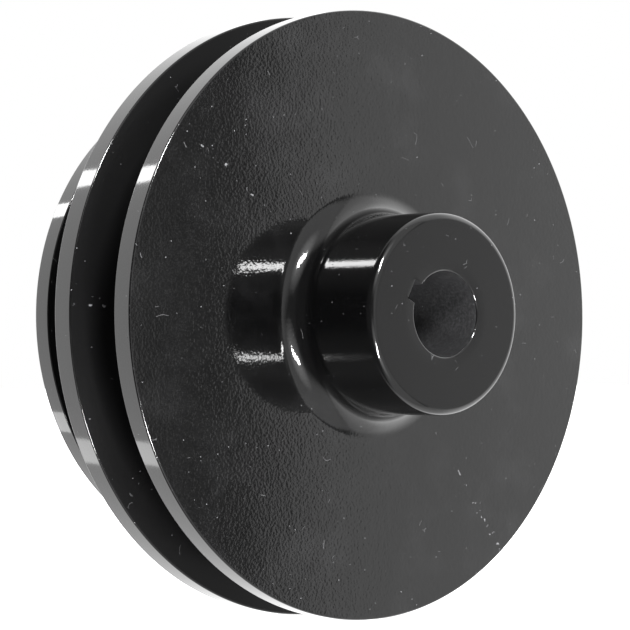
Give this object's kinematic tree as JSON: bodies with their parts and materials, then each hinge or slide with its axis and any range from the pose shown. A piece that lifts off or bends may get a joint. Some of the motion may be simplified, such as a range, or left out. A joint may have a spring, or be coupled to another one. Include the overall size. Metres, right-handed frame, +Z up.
{
  "type": "two-step v-belt pulley",
  "caption": "Cast iron V-belt pulley with a large and a small belt groove, a plain projecting hub, a keyed bore and socket set screws that clamp it to a shaft.",
  "frame": {"origin": "centre of the pulley: on the bore axis, half way along the bore", "axes": "the bore axis is Y: the long plain hub points to -Y, the small step is on the +Y side; +Z up; the keyway is at 152 degrees from +X towards +Z"},
  "size_m": [0.1396, 0.0782, 0.1396],
  "materials": {
    "black_paint": "gloss black paint with a fine orange-peel skin",
    "black_oxide": "black oxide, slightly oily"
  },
  "bodies": {
    "pulley": {"pulley_body": "black_paint"},
    "key_screw": {"key_set_screw": "black_oxide"},
    "shaft_screw": {"shaft_set_screw": "black_oxide"}
  },
  "joints": [
    {"name": "key_screw_travel", "type": "slide", "parent": "pulley", "child": "key_screw", "axis": [-0.8829, 0, 0.4695], "range_m": [-0.00127, 0.0127]},
    {"name": "shaft_screw_travel", "type": "slide", "parent": "pulley", "child": "shaft_screw", "axis": [0.4695, 0, 0.8829], "range_m": [-0.00127, 0.0127]}
  ]
}
